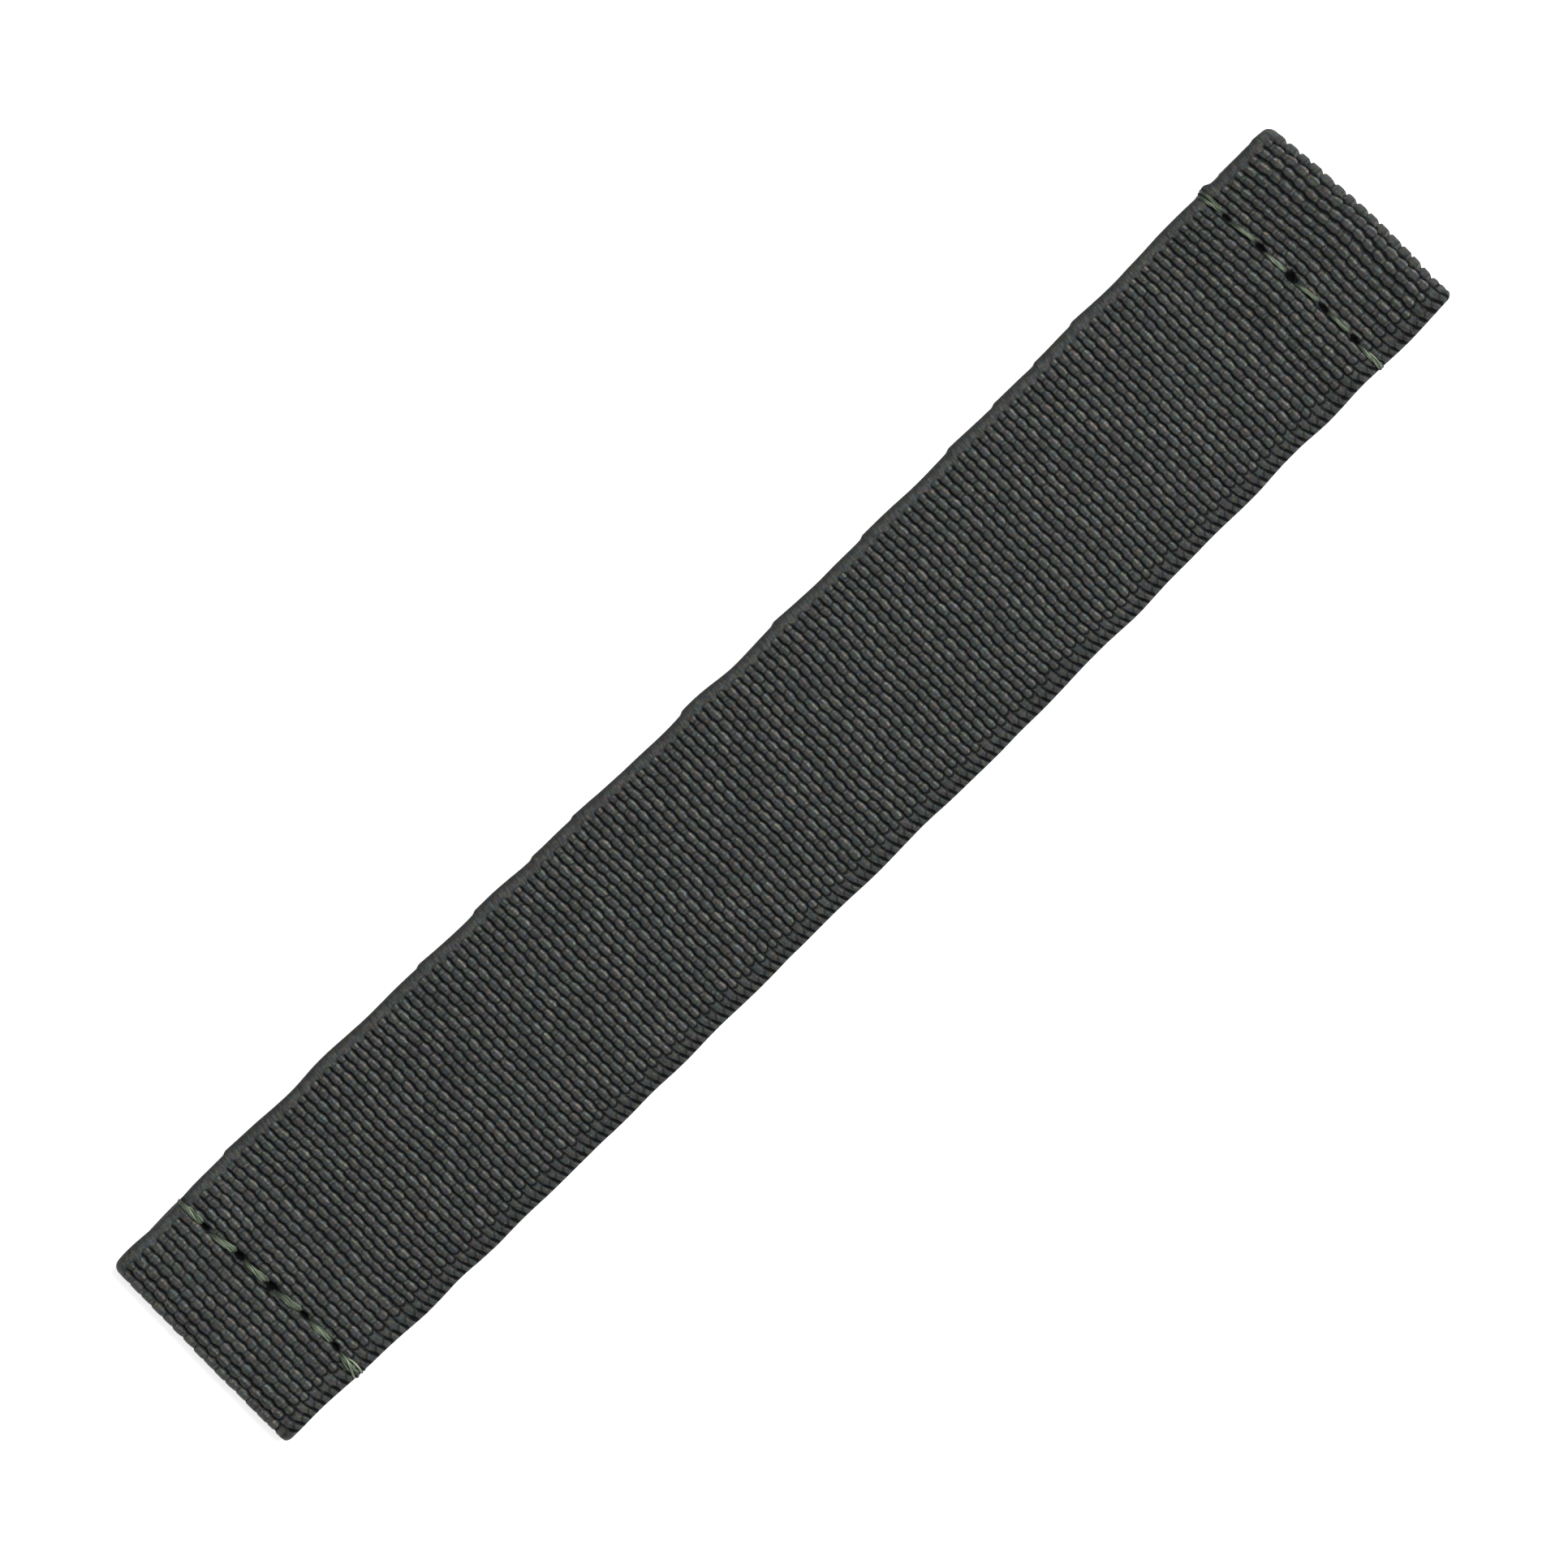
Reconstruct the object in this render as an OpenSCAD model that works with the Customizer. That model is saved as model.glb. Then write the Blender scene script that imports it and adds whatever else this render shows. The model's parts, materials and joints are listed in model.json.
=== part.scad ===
// Elastic watch strap of one woven band, laid flat on its back.
// X runs along the strap, Y across it and +Z is the face that shows when it is worn.
// The origin is in the middle of the strap, on the surface that it lies on.
// Each end is folded under and closed by one seam, which leaves a tunnel for a spring bar.
// The band bends at hinges and stretches where its links part over their rubber cores.

/* [Webbing] */
// Length of the relaxed strap from fold to fold
strap_len = 130; // [120:1:150]
// Width of the webbing
web_w = 20; // [18:1:24]
// Thickness of one layer of webbing
web_t = 1.3; // [1.2:0.05:1.5]

/* [Hem] */
// Diameter of the tunnel that takes the spring bar
tunnel_d = 1.6; // [1.3:0.1:2]
// Depth that the bar beds into the webbing round the tunnel
bar_bed = 0.03; // [0.02:0.01:0.05]
// Distance from the fold to the middle of the seam
seam_dist = 8; // [7.5:0.1:8.5]
// Distance from the fold to the point where the two layers meet
meet_dist = 6.2; // [5.8:0.1:6.4]
// Length of the tail that is folded under
tail_len = 9.3; // [9.2:0.1:10]
// Gap between the two sewn layers
layer_gap = 0.05; // [0.03:0.01:0.1]
// Slope of the band where it comes down off the end of the tail, in degrees
ramp_angle = 22; // [20:1:30]
// Radius of the gentle bends in the middle of the band's thickness
bend_r = 2.5; // [2:0.1:2.6]
// Flat length between the foot of the slope and the first hinge
hem_flat = 0.9; // [0.8:0.1:2]

/* [Links] */
// Number of links on each side of the centre link
links_a_side = 4; // [3:1:4]
// Number of interleaved lobes at each hinge
lobes = 7; // [5:2:9]
// Gap between the sides of two lobes
lobe_side_gap = 0.1; // [0.06:0.02:0.2]
// Gap between the round of a lobe and the hollow that it turns in
lobe_round_gap = 0.05; // [0.04:0.01:0.08]
// Diameter of the weft pick that the lobes turn on
pick_d = 0.3; // [0.24:0.02:0.36]
// Clearance around the weft pick
pick_gap = 0.03; // [0.02:0.01:0.05]
// Distance that each weft pick stays inside the selvedges
pick_inset = 0.2; // [0.1:0.1:0.5]

/* [Rubber cores] */
// Side of one square rubber core
core_side = 0.36; // [0.3:0.02:0.4]
// Clearance around a rubber core
core_gap = 0.04; // [0.03:0.01:0.05]
// Number of cores on each side of the middle of the band
cores_a_side = 5; // [3:1:5]
// Distance from a hinge axis to the end of a core
core_stop = 0.8; // [0.8:0.1:1.2]

/* [Seam] */
// Distance from one needle hole to the next
stitch_len = 3.5; // [3.4:0.1:3.8]
// Number of needle holes on each side of the middle one
holes_a_side = 2; // [1:1:2]
// Turn of the seam from square across the band, in degrees
seam_turn = 2.6; // [0:0.2:3]
// Diameter of the needle thread where it lies on the face
thread_d = 0.5; // [0.4:0.02:0.56]
// Diameter of both threads where they are pulled tight
tight_d = 0.34; // [0.28:0.02:0.34]
// Distance from the middle of a needle hole to each strand in it
strand_gap = 0.36; // [0.35:0.01:0.38]
// Depth that the needle thread sinks into the face
thread_sink = 0.32; // [0.2:0.02:0.34]
// Clearance around the threads
thread_gap = 0.02; // [0.02:0.01:0.03]
// Swelling of a thread where it turns a corner
thread_swell = 0.01; // [0.005:0.005:0.01]

/* [Hidden] */
$fn = 48;
past = 1;
bend_step = 12;
sides = ["left", "right"];
half_len = strap_len / 2;
half_w = web_w / 2;
mid_z = web_t / 2;

// The hem, in distance u from the fold and height z
tunnel_r = tunnel_d / 2;
eye_r = tunnel_r - bar_bed;
fold_c = web_t + eye_r;
fold_r = eye_r + mid_z;
lift = web_t + layer_gap;
face_z = mid_z + lift;
face_top = web_t + lift;
meet_run = meet_dist - fold_c;
meet_rise = eye_r - layer_gap;
slope = asin(eye_r / norm([meet_run, meet_rise])) + atan(meet_rise / meet_run);
slope_corner = fold_c + (fold_r - cos(slope) * (face_z - fold_c)) / sin(slope);
slope_tangent = bend_r * tan(slope / 2);
ramp_u = tail_len + layer_gap;
ramp_line = (lift - 2 * bend_r * (1 - cos(ramp_angle))) / sin(ramp_angle);
ramp_foot = ramp_u + 2 * bend_r * sin(ramp_angle) + ramp_line * cos(ramp_angle);
hem_len = ramp_foot + hem_flat;

// The links, in distance x from the middle of the strap
hinges_a_side = links_a_side + 1;
link_len = 2 * (half_len - hem_len) / (2 * links_a_side + 1);
lobe_w = web_w / lobes;
lobe_r = mid_z;
hollow_r = lobe_r + lobe_round_gap;
pick_r = pick_d / 2;
core_half = core_side / 2;
duct_half = core_half + core_gap;
core_pitch = stitch_len / 2;
core_ys = [for (i = [0 : cores_a_side - 1], s = [-1, 1]) s * (i + 0.5) * core_pitch];

// The seam, in its own frame with y along it
thread_r = thread_d / 2;
tight_r = tight_d / 2;
hole_r = strand_gap + tight_r + thread_gap;
face_half = thread_r + thread_gap;
back_half = tight_r + thread_gap;
lock_z = face_top / 2;
needle_z = face_top + thread_r - thread_sink;
bobbin_z = tight_r + thread_gap;
edge_y = (half_w - tight_r) / cos(seam_turn);
hole_ys = [for (i = [-holes_a_side : holes_a_side]) i * stitch_len];
stops = concat([-edge_y], hole_ys, [edge_y]);

webbing_color = [0.23, 0.24, 0.22];
rubber_color = [0.12, 0.12, 0.11];
pick_color = [0.17, 0.18, 0.16];
thread_color = [0.42, 0.5, 0.35];

function end_names(s) = [
    str("webbing_hem_", s),
    str("rubber_cores_hem_", s),
    str("needle_thread_", s),
    str("bobbin_thread_", s)
];
function link_names(s) = [for (k = [1 : links_a_side]) each [
    str("webbing_", s, "_", k, "_inner"),
    str("webbing_", s, "_", k, "_outer"),
    str("rubber_cores_", s, "_", k)
]];
function pick_names(s) = [for (k = [1 : hinges_a_side]) str("weft_pick_", s, "_", k)];

// Points of a bend round centre c, each with the angle of the line through the band's thickness.
// The turn is 0 where the band bends round c with its face outwards, and 180 with its face inwards.
function bend(c, r, a0, a1, turn) = let (steps = ceil(abs(a1 - a0) / bend_step)) [
    for (i = [0 : steps]) let (a = a0 + (a1 - a0) * i / steps) [c[0] + r * cos(a), c[1] + r * sin(a), a + turn]
];

// The middle of the band's thickness through a hem, from length u_start of the tail to u_end
function hem_path(u_start, u_end) = concat(
    [[u_start, mid_z, 270]],
    bend([fold_c, fold_c], fold_r, 270, 90 - slope, 0),
    bend([slope_corner + slope_tangent, face_z + bend_r], bend_r, 270 - slope, 270, 180),
    bend([ramp_u, face_z - bend_r], bend_r, 90, 90 - ramp_angle, 0),
    bend([ramp_foot, mid_z + bend_r], bend_r, 270 - ramp_angle, 270, 180),
    [[u_end, mid_z, 90]]
);

// Both sides of a band that reaches half its thickness from its path
function both_sides(path, half) = [
    for (s = [1, -1], i = [0 : len(path) - 1])
        let (p = path[s > 0 ? i : len(path) - 1 - i])
            [p[0] + s * half * cos(p[2]), p[1] + s * half * sin(p[2])]
];

// Puts what is drawn in distance u from the fold at one end of the strap
module at_end(side) {
    mirror([side == "right" ? 1 : 0, 0, 0]) translate([-half_len, 0, 0]) children();
}

// Puts what is drawn for the right side on the side that is named
module on_side(side) {
    mirror([side == "left" ? 1 : 0, 0, 0]) children();
}

// Stands a drawing of x and z up, centred on the width
module across(width) {
    rotate([90, 0, 0]) linear_extrude(width, center = true) children();
}

// A round bar between two points at one height, with a swollen corner at each end
module bar(a, b, z, r) {
    turn = atan2(b[1] - a[1], b[0] - a[0]);
    translate([a[0], a[1], z]) rotate([0, 90, turn]) cylinder(r = r, h = norm(b - a));
    for (p = [a, b]) translate([p[0], p[1], z]) sphere(r = r + thread_swell);
}

// The square groove that a bar lies in, from height z0 to z1
module groove(a, b, z0, z1, half) {
    translate([a[0], a[1], z0]) rotate([0, 0, atan2(b[1] - a[1], b[0] - a[0])])
        translate([-half, -half, 0]) cube([norm(b - a) + 2 * half, 2 * half, z1 - z0]);
}

// Square cores or their ducts through a hem
module hem_cores(half, u_start, u_end) {
    for (y = core_ys) translate([0, y, 0])
        across(2 * half) polygon(both_sides(hem_path(u_start, u_end), half));
}

// Square cores or their ducts through a link
module straight_cores(half, x0, x1) {
    for (y = core_ys) translate([x0, y - half, mid_z - half]) cube([x1 - x0, 2 * half, 2 * half]);
}

// What the lobes of the other link take out of a link at the hinge at x
module hinge_hollows(x, keeps_even) {
    for (i = [0 : lobes - 1]) if ((i % 2 == 0) != keeps_even)
        translate([x, -half_w + i * lobe_w - lobe_side_gap / 2, mid_z])
            rotate([-90, 0, 0]) cylinder(r = hollow_r, h = lobe_w + lobe_side_gap);
}

module pick_hole(x) {
    translate([x, 0, mid_z]) rotate([90, 0, 0])
        cylinder(r = pick_r + pick_gap, h = web_w + past, center = true);
}

module lobe_bar(x) {
    translate([x, 0, mid_z]) rotate([90, 0, 0]) cylinder(r = lobe_r, h = web_w, center = true);
}

// Webbing from x0 to x1, where hinge_ends lists [x, keeps the even lobes]
module link(x0, x1, hinge_ends) {
    color(webbing_color) difference() {
        union() {
            translate([x0, -half_w, 0]) cube([x1 - x0, web_w, web_t]);
            for (h = hinge_ends) lobe_bar(h[0]);
        }
        for (h = hinge_ends) {
            hinge_hollows(h[0], h[1]);
            pick_hole(h[0]);
        }
        children();
    }
}

module webbing_centre() {
    x = link_len / 2;
    link(-x, x, [[-x, true], [x, true]])
        straight_cores(duct_half, -x + core_stop - core_gap, x - core_stop + core_gap);
}

module rubber_cores_centre() {
    x = link_len / 2 - core_stop;
    color(rubber_color) straight_cores(core_half, -x, x);
}

module webbing_inner(side, k) {
    x = (k - 0.5) * link_len;
    on_side(side) link(x, k * link_len, [[x, false]])
        straight_cores(duct_half, x + core_stop - core_gap, k * link_len + past);
}

module webbing_outer(side, k) {
    x = (k + 0.5) * link_len;
    on_side(side) link(k * link_len, x, [[x, true]])
        straight_cores(duct_half, k * link_len - past, x - core_stop + core_gap);
}

// The cores are held in the inner half of a link and slide in the outer half
module rubber_cores(side, k) {
    color(rubber_color) on_side(side) straight_cores(
        core_half,
        (k - 0.5) * link_len + core_stop,
        (k + 0.5) * link_len - core_stop
    );
}

module rubber_cores_hem(side) {
    color(rubber_color) at_end(side) hem_cores(core_half, tail_len, hem_len - core_stop);
}

module weft_pick(side, k) {
    color(pick_color) on_side(side) translate([(k - 0.5) * link_len, 0, mid_z])
        rotate([90, 0, 0]) cylinder(r = pick_r, h = web_w - 2 * pick_inset, center = true);
}

// Turns to the seam's own frame, which leans the same way at both ends of the strap
module seam_frame(side) {
    at_end(side) translate([seam_dist, 0, 0]) rotate([0, 0, side == "left" ? seam_turn : -seam_turn])
        mirror([side == "left" ? 0 : 1, 0, 0]) children();
}

// Ends of the needle thread's stretches on the face, each slanted from one strand's side to the other's
function face_ends(i) = [[strand_gap, stops[i]], [-strand_gap, stops[i + 1]]];

// Ends of the bobbin thread's stretches on the back, between the strands in the holes
function back_ends(i) = [
    i == 0 ? face_ends(i)[0] : [0, stops[i] + strand_gap],
    i == len(stops) - 2 ? face_ends(i)[1] : [0, stops[i + 1] - strand_gap]
];

// A strand that stands in a hole or in an edge notch
module strand(x, y, z0, z1, r) {
    translate([x, y, z0]) cylinder(r = r, h = z1 - z0);
}

// Half a ring that joins two strands, where the threads lock round each other
module lock_loop(turn) {
    translate([0, 0, lock_z]) rotate([0, 0, turn]) rotate([90, 0, 0])
        rotate_extrude(angle = 180) translate([strand_gap, 0]) circle(tight_r);
}

module needle_thread(side) {
    color(thread_color) seam_frame(side) {
        for (i = [0 : len(stops) - 2]) bar(face_ends(i)[0], face_ends(i)[1], needle_z, thread_r);
        for (y = hole_ys) {
            for (x = [-strand_gap, strand_gap]) strand(x, y, lock_z, needle_z, tight_r);
            translate([0, y, 2 * lock_z]) mirror([0, 0, 1]) lock_loop(0);
        }
        for (s = [-1, 1])
            strand(-s * strand_gap, s * edge_y, lock_z + thread_gap, needle_z, tight_r);
    }
}

module bobbin_thread(side) {
    color(thread_color) seam_frame(side) {
        for (i = [0 : len(stops) - 2]) bar(back_ends(i)[0], back_ends(i)[1], bobbin_z, tight_r);
        for (y = hole_ys) {
            for (d = [-strand_gap, strand_gap]) strand(0, y + d, bobbin_z, lock_z, tight_r);
            translate([0, y, 0]) lock_loop(90);
        }
        for (s = [-1, 1])
            strand(-s * strand_gap, s * edge_y, bobbin_z, lock_z - thread_gap, tight_r);
    }
}

// The holes, notches and grooves that the two threads lie in
module seam_cuts(side) {
    seam_frame(side) {
        for (y = hole_ys) strand(0, y, -past, face_top + past, hole_r);
        for (s = [-1, 1])
            strand(-s * strand_gap, s * edge_y, -past, face_top + past, back_half);
        for (i = [0 : len(stops) - 2]) {
            groove(face_ends(i)[0], face_ends(i)[1], needle_z - face_half, face_top + past, face_half);
            groove(back_ends(i)[0], back_ends(i)[1], -past, bobbin_z + back_half, back_half);
        }
    }
}

// The end of the band: its tail, the fold round the tunnel, the sewn layer and the slope down
module webbing_hem(side) {
    color(webbing_color) difference() {
        at_end(side) union() {
            across(web_w) polygon(both_sides(hem_path(tail_len, hem_len), mid_z));
            lobe_bar(hem_len);
        }
        at_end(side) {
            hinge_hollows(hem_len, false);
            pick_hole(hem_len);
            hem_cores(duct_half, tail_len + core_gap, hem_len - core_stop + core_gap);
            translate([fold_c, 0, fold_c]) rotate([90, 0, 0])
                cylinder(r = tunnel_r, h = web_w + past, center = true);
        }
        seam_cuts(side);
    }
}

webbing_centre();
rubber_cores_centre();
for (s = sides) {
    webbing_hem(s);
    rubber_cores_hem(s);
    needle_thread(s);
    bobbin_thread(s);
    for (k = [1 : links_a_side]) {
        webbing_inner(s, k);
        webbing_outer(s, k);
        rubber_cores(s, k);
    }
    for (k = [1 : hinges_a_side]) weft_pick(s, k);
}
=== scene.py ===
"""A ribbed elastic watch strap with a sewn hem at each end, dressed over its fixed frame."""
import json
import math
from types import SimpleNamespace
import bmesh
import bpy
import numpy as np
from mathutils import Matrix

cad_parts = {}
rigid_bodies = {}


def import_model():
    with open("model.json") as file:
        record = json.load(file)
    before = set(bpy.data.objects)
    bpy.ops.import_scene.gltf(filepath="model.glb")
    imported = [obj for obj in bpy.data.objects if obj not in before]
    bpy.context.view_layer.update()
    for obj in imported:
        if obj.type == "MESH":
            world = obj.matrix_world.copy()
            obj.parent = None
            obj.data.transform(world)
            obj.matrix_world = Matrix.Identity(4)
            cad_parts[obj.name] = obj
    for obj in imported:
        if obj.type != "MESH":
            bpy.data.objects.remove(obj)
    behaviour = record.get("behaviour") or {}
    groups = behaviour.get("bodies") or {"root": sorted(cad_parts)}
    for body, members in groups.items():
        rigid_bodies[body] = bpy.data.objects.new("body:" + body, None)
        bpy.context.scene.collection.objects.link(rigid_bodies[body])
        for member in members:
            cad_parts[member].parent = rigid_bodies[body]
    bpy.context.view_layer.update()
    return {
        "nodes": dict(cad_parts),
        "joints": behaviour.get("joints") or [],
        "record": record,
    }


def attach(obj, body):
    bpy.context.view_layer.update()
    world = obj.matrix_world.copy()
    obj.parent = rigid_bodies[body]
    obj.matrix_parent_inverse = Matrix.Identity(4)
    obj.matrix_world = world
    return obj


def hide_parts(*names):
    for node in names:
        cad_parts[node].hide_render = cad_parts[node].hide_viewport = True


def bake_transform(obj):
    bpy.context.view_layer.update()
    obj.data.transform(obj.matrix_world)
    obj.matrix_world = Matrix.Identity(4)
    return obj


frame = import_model()

# Sizes are in millimetres and angles in degrees, and meshes are written in metres
MM = 0.001
SIDES = {"left": -1, "right": 1}

# The band, from the frame
MOUNTS = {mount["name"]: mount for mount in frame["record"]["mounts"]}
JOINTS = {joint["name"]: joint for joint in frame["joints"]}
TUNNEL = MOUNTS["spring_bar_tunnel_right"]
FIRST_HINGE = JOINTS["bend_right_1"]["pos_m"]
FOLD_C = TUNNEL["pos_m"][2] / MM
HALF_LEN = TUNNEL["pos_m"][0] / MM + FOLD_C
BAND_W = TUNNEL["dims"]["length_mm"]
BAND_T = 2 * FIRST_HINGE[2] / MM
LINK_LEN = 2 * FIRST_HINGE[0] / MM
HALF_W = BAND_W / 2
MID_T = BAND_T / 2
LINKS_A_SIDE = sum(name.startswith("stretch_right") for name in JOINTS)

# The hem, in distance u from the fold and height z
BAR_BED = 0.03
MEET_DIST = 6.2
TAIL_LEN = 9.3
TAIL_TRIM = 0.03
LAYER_GAP = 0.05
RAMP_ANGLE = 22
BEND_R = 2.5
ARC_STEP = 3
EYE_R = TUNNEL["dims"]["r_mm"] - BAR_BED
FOLD_R = EYE_R + MID_T
LIFT = BAND_T + LAYER_GAP
FACE_Z = MID_T + LIFT
FACE_TOP = BAND_T + LIFT

# The weave: ribs across the band, each a row of long beads with a short collar between them, at the upper
# or the lower end of the bead in turn from rib to rib
BEAD = 1.21
HALF_BEAD_PARTS = (0, 0.055, 0.14, 0.25, 0.36, 0.445)
RIBS_A_BEND = 6
RIBS_A_STRETCH = 9
HEM_RIB = {"left": 0.787, "right": 0.775}
FOLD_RIB = (-15, 52)
FOLD_OPENING = {"left": 0.09, "right": 0.19}
GAPE = {"left": 0.1, "right": 1}
GAPE_RAMPS = (7.6, 9.2, 11.6, 13.6)
GAPE_PINCH = 0.12
GAPE_DOME = 5
RIB_STATIONS = (0, 0.055, 0.11, 0.2, 0.36, 0.56, 0.72, 0.82, 0.91)
RIB_WAVE = 0.05
NECK_SKEW = 0.11
COLLAR = 0.31
SWAY = 0.028
SWAY_LENS = (2.3, 3.7, 7.1)
RIB_DEPTH = 0.3
CREST_POWER = 3.2
CREST_ROUND = 0.65
CREASE_DEPTH = 0.06
DOME_DEPTH = 0.03
WEAVE_LOW = -8.45
WEAVE_HIGH = 8.9
EDGE_STAGGER = 0.17
END_ARCH = 0.22
TIP_RISE = 0.1
CREASE_HALF = 0.13
COLLAR_CREASE = 0.6
EDGE_CREASE = 1.8
SLANT_CREASE = 1.2
ROLL_R = 0.8
EDGE_R = 0.5
EDGE_LEANS = (5, 22)
LAST_BEAD = -9
ROLL_SLANT = 12

# The long edges: the beaded selvedge's last crease slants and its ribs flatten toward its brim, and the
# rolled one has painted shade at its brink, where it turns under
SLANT_LINE = -9.36
SLANT_RISE = 0.45
SLANT_HALF = 0.15
FLARE_LINE = -9.62
LINE_SOFT = 0.06
EDGE_FLAT = 0.2
BRIM = 0.5
BRIM_FLAT = 0.75
BRINK = 0.6
ROLL_FADE = (-0.08, 0.1)

# Irregularity: how far the weave drifts, swells and ripples, and where ribs stop shifting at the edges
RANDOM_SEED = 12
DRIFT = 0.05
SWELL = 0.03
EDGE_RIPPLE = 0.025
SHIFT_FADE = (0.8, 2)

# The seams, each in its own frame with y along it
SEAM_DIST = {"left": 8, "right": 8.08}
SEAM_TURN = {"left": 2.2, "right": -0.3}
SEAM_SHIFT = {"left": -0.12, "right": 0.22}
STITCH = 3.5
HOLES = [-2 * STITCH, -STITCH, 0, STITCH, 2 * STITCH]
SEAM_WANDER = {
    "left": (-0.48, 0.03, 0.14, 0, 0.04, -0.26, 0),
    "right": (-0.17, 0, 0.09, -0.14, 0.03, 0.05, 0.16),
}
PUCKER = {"left": (-0.52, -0.1), "right": (0.46, 0.2)}
# How wide the pit at each hole is, from -Y to +Y
PIT_SIZE = {"left": (0.7, 0.76, 1.05, 0.95, 0.78), "right": (0.86, 0.8, 1.05, 0.9, 0.74)}
CORE_PITCH = STITCH / 2
EDGE_HOLE = HALF_W + 0.02
STITCH_LEAN = 0.13
LOCK_Z = FACE_TOP / 2

# What the seams press into the band: how far each dip reaches across and along the seam, and its depth
SEAM_DIP = (0.9, 0.1)
STITCH_DIP = (0.3, 0.2)
HOLE_DIP = (0.25, 0.55, 0.7)
PUCKER_DIP = (0.28, 0.4, 0.25)
# How strong the painted shade is in the pucker
PUCKER_SHADE = 0.4
PRESS_LIMIT = 0.85
SINK_LIMIT = 0.42
PIT_DEEPER = 0.5
PIT_RAMP = (0.1, 0.3)
CORE_CLEAR = (0.28, 0.5)


# The middle of the band's thickness, as [u, z, angle that the face looks in]
def bend(centre, radius, start, stop, turn):
    """Points on an arc from angle start to stop. The face looks in the arc's own angle plus turn"""
    steps = math.ceil(abs(stop - start) / ARC_STEP)
    points = []
    for i in range(steps + 1):
        angle = start + (stop - start) * i / steps
        a = math.radians(angle)
        points.append([centre[0] + radius * math.cos(a), centre[1] + radius * math.sin(a), angle + turn])
    return points


def hem_route():
    """The band from the cut end of the tail, round the fold and down to the middle of the strap"""
    run = MEET_DIST - FOLD_C
    rise = EYE_R - LAYER_GAP
    slope = math.asin(EYE_R / math.hypot(run, rise)) + math.atan(rise / run)
    corner = FOLD_C + (FOLD_R - math.cos(slope) * (FACE_Z - FOLD_C)) / math.sin(slope)
    tangent = BEND_R * math.tan(slope / 2)
    slope = math.degrees(slope)
    descent = math.radians(RAMP_ANGLE)
    crest = TAIL_LEN + LAYER_GAP
    drop = (LIFT - 2 * BEND_R * (1 - math.cos(descent))) / math.sin(descent)
    foot = crest + 2 * BEND_R * math.sin(descent) + drop * math.cos(descent)
    return np.array(
        [[TAIL_LEN - TAIL_TRIM, MID_T, 270]]
        + bend((FOLD_C, FOLD_C), FOLD_R, 270, 90 - slope, 0)
        + bend((corner + tangent, FACE_Z + BEND_R), BEND_R, 270 - slope, 270, -180)
        + bend((crest, FACE_Z - BEND_R), BEND_R, 90, 90 - RAMP_ANGLE, 0)
        + bend((foot, MID_T + BEND_R), BEND_R, 270 - RAMP_ANGLE, 270, -180)
        + [[HALF_LEN, MID_T, 90]]
    )


ROUTE = hem_route()
ROUTE_S = np.concatenate([[0], np.cumsum(np.hypot(np.diff(ROUTE[:, 0]), np.diff(ROUTE[:, 1])))])
HALF_S = ROUTE_S[-1]


def band_place(s, height):
    """x and z of points at distance s from the middle of the strap and at a height off the band's middle"""
    along = HALF_S - np.abs(s)
    u = np.interp(along, ROUTE_S, ROUTE[:, 0])
    z = np.interp(along, ROUTE_S, ROUTE[:, 1])
    angle = np.radians(np.interp(along, ROUTE_S, ROUTE[:, 2]))
    x = HALF_LEN - u - height * np.cos(angle)
    return np.where(s < 0, -x, x), z + height * np.sin(angle)


# Irregularity, all of it from one seed
dice = np.random.default_rng(RANDOM_SEED)


def smooth_step(value, low, high):
    share = np.clip((value - low) / (high - low), 0, 1)
    return share * share * (3 - 2 * share)


def ripples(count, size):
    """Waves in random directions, as a function of two coordinates that is mostly between -1 and 1"""
    turns = dice.uniform(0, 2 * math.pi, count)
    steps = 2 * math.pi / (size * dice.uniform(0.7, 1.6, count))
    starts = dice.uniform(0, 2 * math.pi, count)

    def height(a, b):
        total = 0
        for turn, step, start in zip(turns, steps, starts):
            total = total + np.sin(step * (a * math.cos(turn) + b * math.sin(turn)) + start)
        return total / math.sqrt(count)

    return height


drift_along = ripples(7, 9)
drift_across = ripples(7, 7)
swell = ripples(8, 5)
edge_ripple = ripples(5, 6)

# How the real strap departs from a straight one: its two long edges as [x, y], the steps where the
# rolled edge swells out, and the right end, which curls in toward its upper corner
UPPER_EDGE = [
    (-64, 10.15), (-57, 10.2), (-52, 10.32), (-45, 10.22), (-38, 10.27), (-31, 10.09), (-20, 9.98),
    (-10, 9.86), (0, 9.74), (12, 9.68), (25, 9.77), (35, 9.93), (45, 10.1), (52, 10.36), (64, 10.34),
]
LOWER_EDGE = [
    (-64, -9.56), (-58, -9.7), (-50, -10.03), (-40, -10.12), (-20, -10.22), (-10, -10.14), (10, -10.18),
    (14, -10.26), (20, -10.1), (30, -10.03), (37, -9.88), (45, -9.77), (56, -9.67), (60, -9.67),
    (64, -9.55),
]
EDGE_STEPS = (-52.6, -31.2, -25, -18.7, -14.2, -2.1, 8, 17.9, 27.6, 32.7, 37.3, 41.6, 56.6, 59, 62.6)
STEP_RISE = 0.15
STEP_START = 0.55
STEP_FADE = 5
EDGE_BUMP = (57.75, 0.25, 0.45)
ROLL_START = 8
RIB_TILT = 0.7
TILT_RAMPS = (-62, -45, 59, 65)
CURL = 0.95
CURL_START = 44
CURL_LOW = -2
CURL_POWER = 1.5
FOLD_BULGE = 0.1
BULGE_REACH = (5, 1)


def table(pairs, x):
    return np.interp(x, [p[0] for p in pairs], [p[1] for p in pairs])


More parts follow.
